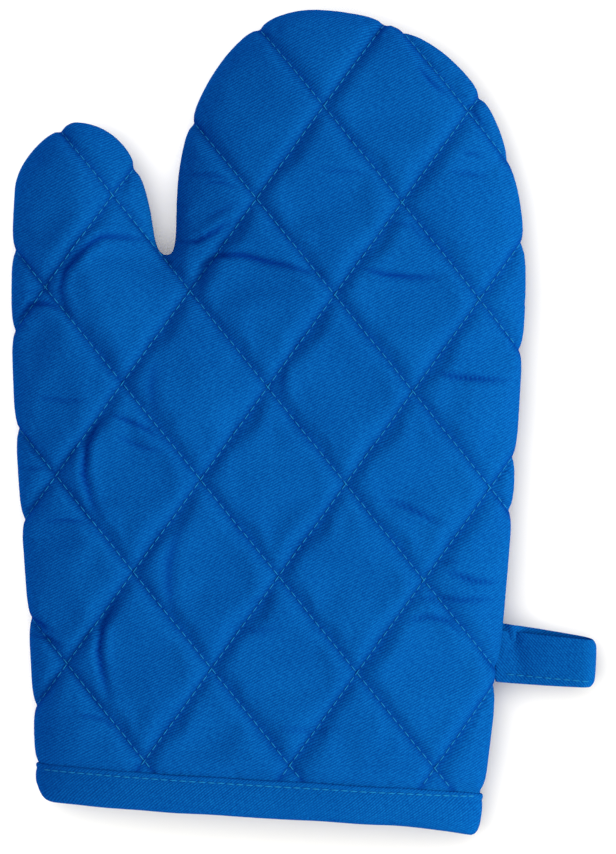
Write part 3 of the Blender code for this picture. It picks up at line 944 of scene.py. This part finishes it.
def cuff_point(share, y, depth):
    """A point `share` of the way round the mitt at y, `depth` under its cloth."""
    turn = share * 2 * pi
    left, right = seam_x(y, False) + SEAM_TUCK + depth, seam_x(y, True) - SEAM_TUCK - depth
    x = (left + right) / 2 - (right - left) / 2 * cos(turn)
    side = "front" if share < 0.5 else "back"
    distance = min(x - left, right - x) + depth
    height = float(dome_height(side, np.array([distance]), depth)[0])
    return Vector((x, y, height))


# The folded strip in section: how far up from the bound edge and how deep each point is, from the upper
# outer edge round.
BINDING_WIDTH = binding_top_y - cuff_y
BINDING_SECTION = (
    (BINDING_WIDTH - 0.0006, 0.0001),
    (BINDING_WIDTH, -0.0004),
    (BINDING_WIDTH - 0.0005, -0.0010),
    (BINDING_WIDTH - TOPSTITCH_INSET + 0.0007, -0.0011),
    (BINDING_WIDTH - TOPSTITCH_INSET, -0.0007),
    (BINDING_WIDTH - TOPSTITCH_INSET - 0.0007, -0.0011),
    (BINDING_WIDTH * 0.66, -0.0013),
    (BINDING_WIDTH * 0.45, -0.0013),
    (BINDING_WIDTH * 0.27, -0.0011),
    (0.0020, -0.0006),
    (0.0007, 0.0004),
    (0.0001, 0.0019),
    (0.0007, 0.0034),
    (0.0020, 0.0044),
    (BINDING_WIDTH * 0.27, 0.0048),
    (BINDING_WIDTH * 0.50, 0.0049),
    (BINDING_WIDTH * 0.75, 0.0048),
    (BINDING_WIDTH - 0.0006, 0.0046),
    (BINDING_WIDTH - 0.0001, 0.0041),
    (BINDING_WIDTH - 0.0006, 0.0037),
    (BINDING_WIDTH * 0.50, 0.0038),
    (0.0030, 0.0036),
    (0.0014, 0.0019),
    (0.0030, 0.0004),
    (BINDING_WIDTH * 0.50, 0.0001),
)


def binding_place(share, round_section):
    section = round_section * len(BINDING_SECTION)
    index = int(section + 1e-6) % len(BINDING_SECTION)
    up, depth = BINDING_SECTION[index]
    point = cuff_point(share % 1.0, cuff_y + up, depth)
    # The left corner is rounded off and the right one hangs a little low.
    past = (seam_x(cuff_y, False) + BINDING_CORNER - point.x) / BINDING_CORNER
    if past > 0:
        lowest = cuff_y + BINDING_CORNER * 0.8 * (1 - (1 - min(past, 1.0) ** 2) ** 0.5)
        squeeze = max(0.0, 1 - up / (BINDING_CORNER * 1.2))
        point.y += (lowest - cuff_y) * squeeze
    sag = max(0.0, (point.x - seam_x(cuff_y, True) + SAG_REACH) / SAG_REACH)
    point.y -= BINDING_SAG * sag**2 * (1 - 0.6 * up / BINDING_WIDTH)
    ripple = noise.noise(Vector((point.x * 75, point.y * 25, 3.0 if share < 0.5 else 9.0)))
    point.z += RIPPLE * ripple * (1 if share < 0.5 else 0.3) * min(1.0, 4 * abs(sin(share * 2 * pi)))
    point.y += 0.0003 * noise.noise(Vector((point.x * 60, 5.0, point.z * 40)))
    return point


section_steps = np.diff([*BINDING_SECTION, BINDING_SECTION[0]], axis=0)
section_runs = np.append(0.0, np.cumsum(np.linalg.norm(section_steps, axis=1)))


def binding_flat(share, round_section):
    width = seam_x(cuff_y, True) - seam_x(cuff_y, False)
    across = (1 - cos(share * 2 * pi)) / 2 * width
    run = across if share <= 0.5 else 2 * width - across
    return (run, section_runs[round(round_section * len(BINDING_SECTION))])


binding = rolled(
    "binding_cloth", 220, len(BINDING_SECTION), binding_place, binding_flat, binding_finish, closed=True
)
finer(binding)
binding_surface = surface_of(binding)
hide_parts("cuff_binding")
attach(binding, "hand")

bm = bmesh.new()
for outward in (1, -1):
    path = []
    stitch_y = binding_top_y - TOPSTITCH_INSET
    for x in np.arange(seam_x(stitch_y, False) + 0.003, seam_x(stitch_y, True) - 0.003, PATH_STEP):
        path.append(straight_onto(binding_surface, x, stitch_y, outward))
    path = [found for found in path if found is not None]
    sew(bm, path, STITCH_PERIOD, STITCH_LENGTH, THREAD_RADIUS * 1.15)
topstitch = new_object("binding_topstitch", bm, thread_finish)
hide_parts("cuff_topstitch")
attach(topstitch, "hand")

# The hanging loop ------------------------------------------------------------------------------------
# A tape of the same twill, folded lengthwise and stitched along its lower edge, is folded in half and its
# ends are caught in the side seam. Its under leg shows a little along the upper edge.

loop_low, loop_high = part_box("hanging_loop")
LOOP_WIDTH = 0.0172
LOOP_LENGTH = 0.074  # from root round the tip to root
LOOP_CLOTH = 0.0011
LOOP_TIP_RADIUS = 0.0046
LOOP_ROOT_RADIUS = 0.0012
LOOP_DROP = 0.0017  # how far the tip hangs towards the cuff
LOOP_LOWER = 0.0018  # how far the whole loop has settled towards the cuff
LOOP_TAPER = 0.10
LEG_SLIP = 0.00228  # how far up in plan the under leg lies from the upper one
LOOP_STITCH_INSET = 0.0030

loop_root = loop_low.x - 0.0030
loop_tip = loop_high.x - LOOP_TIP_RADIUS + LOOP_CLOTH / 2
loop_middle_y = (loop_low.y + loop_high.y) / 2 + LOOP_DROP / 2 - LOOP_LOWER


def loop_path(share):
    """A point and outward normal on the tape's middle, from the upper leg's root to the under leg's."""
    tip, root = LOOP_TIP_RADIUS - LOOP_CLOTH / 2, LOOP_ROOT_RADIUS - LOOP_CLOTH / 2
    leg, bend = 0.40, 0.20
    if leg < share < leg + bend:
        angle = pi / 2 - (share - leg) / bend * pi
        point = Vector((loop_tip + tip * cos(angle), 0.0, tip * sin(angle)))
        return point, Vector((cos(angle), 0.0, sin(angle)))
    upper = share <= leg
    out = share / leg if upper else (1 - share) / leg
    bulge = root + (tip - root) * (3 * out**2 - 2 * out**3)
    x = loop_root + (loop_tip - loop_root) * out
    return Vector((x, 0.0, bulge if upper else -bulge)), Vector((0.0, 0.0, 1.0 if upper else -1.0))


def loop_place(share, round_section):
    middle, normal = loop_path(share)
    turn = round_section * 2 * pi
    across = abs(cos(turn)) ** 0.25 * (1 if cos(turn) > 0 else -1)
    through = abs(sin(turn)) ** 0.6 * (1 if sin(turn) > 0 else -1)
    out = min(1.0, max(0.0, (middle.x - loop_root) / (loop_high.x - loop_root)))
    width = LOOP_WIDTH * (1.04 - LOOP_TAPER * out)
    slip = LEG_SLIP * (3 * share**2 - 2 * share**3)
    soft = 0.0004 * noise.noise(Vector((middle.x * 90, across * 0.7, share * 3)))
    # The side seam pinches the upper corner of the root.
    pinched = ((middle.x - loop_root - 0.0080 + 0.003 * across) / 0.0018) ** 2
    soft -= 0.0018 * (0.5 + across / 2) * 2.72**-pinched
    y = loop_middle_y - LOOP_DROP * out + across * width / 2 + slip
    offset = normal * (through * LOOP_CLOTH / 2 + soft)
    # The tip's corners are eased round.
    ease = max(0.0, out - 0.90) / 0.10 * max(0.0, abs(across) - 0.75) / 0.25
    return Vector((middle.x - 0.0012 * ease, y, seam_height + middle.z)) + offset


def loop_flat(share, round_section):
    across = cos(round_section * 2 * pi)
    return (share * LOOP_LENGTH, abs(across) ** 0.25 * (1 if across > 0 else -1) * LOOP_WIDTH / 2)


loop = rolled("loop_tape", 64, 28, loop_place, loop_flat, binding_finish, closed=False)
finer(loop)
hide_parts("hanging_loop")
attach(loop, "loop")
loop_surface = surface_of(loop)
bm = bmesh.new()
for outward in (1, -1):
    path = []
    for x in np.arange(loop_low.x + 0.0010, loop_high.x - 0.0004, PATH_STEP):
        out = (x - loop_root) / (loop_high.x - loop_root)
        y = loop_middle_y - LOOP_DROP * out - LOOP_WIDTH / 2 * (1.04 - LOOP_TAPER * out) + LOOP_STITCH_INSET
        path.append(straight_onto(loop_surface, x, y, outward))
    path = [found for found in path if found is not None]
    sew(bm, path, STITCH_PERIOD, STITCH_LENGTH, THREAD_RADIUS)
loop_stitches = new_object("loop_stitches", bm, thread_finish)
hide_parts("loop_stitch")
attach(loop_stitches, "loop")

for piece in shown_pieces():
    mitt_pieces.objects.link(piece)
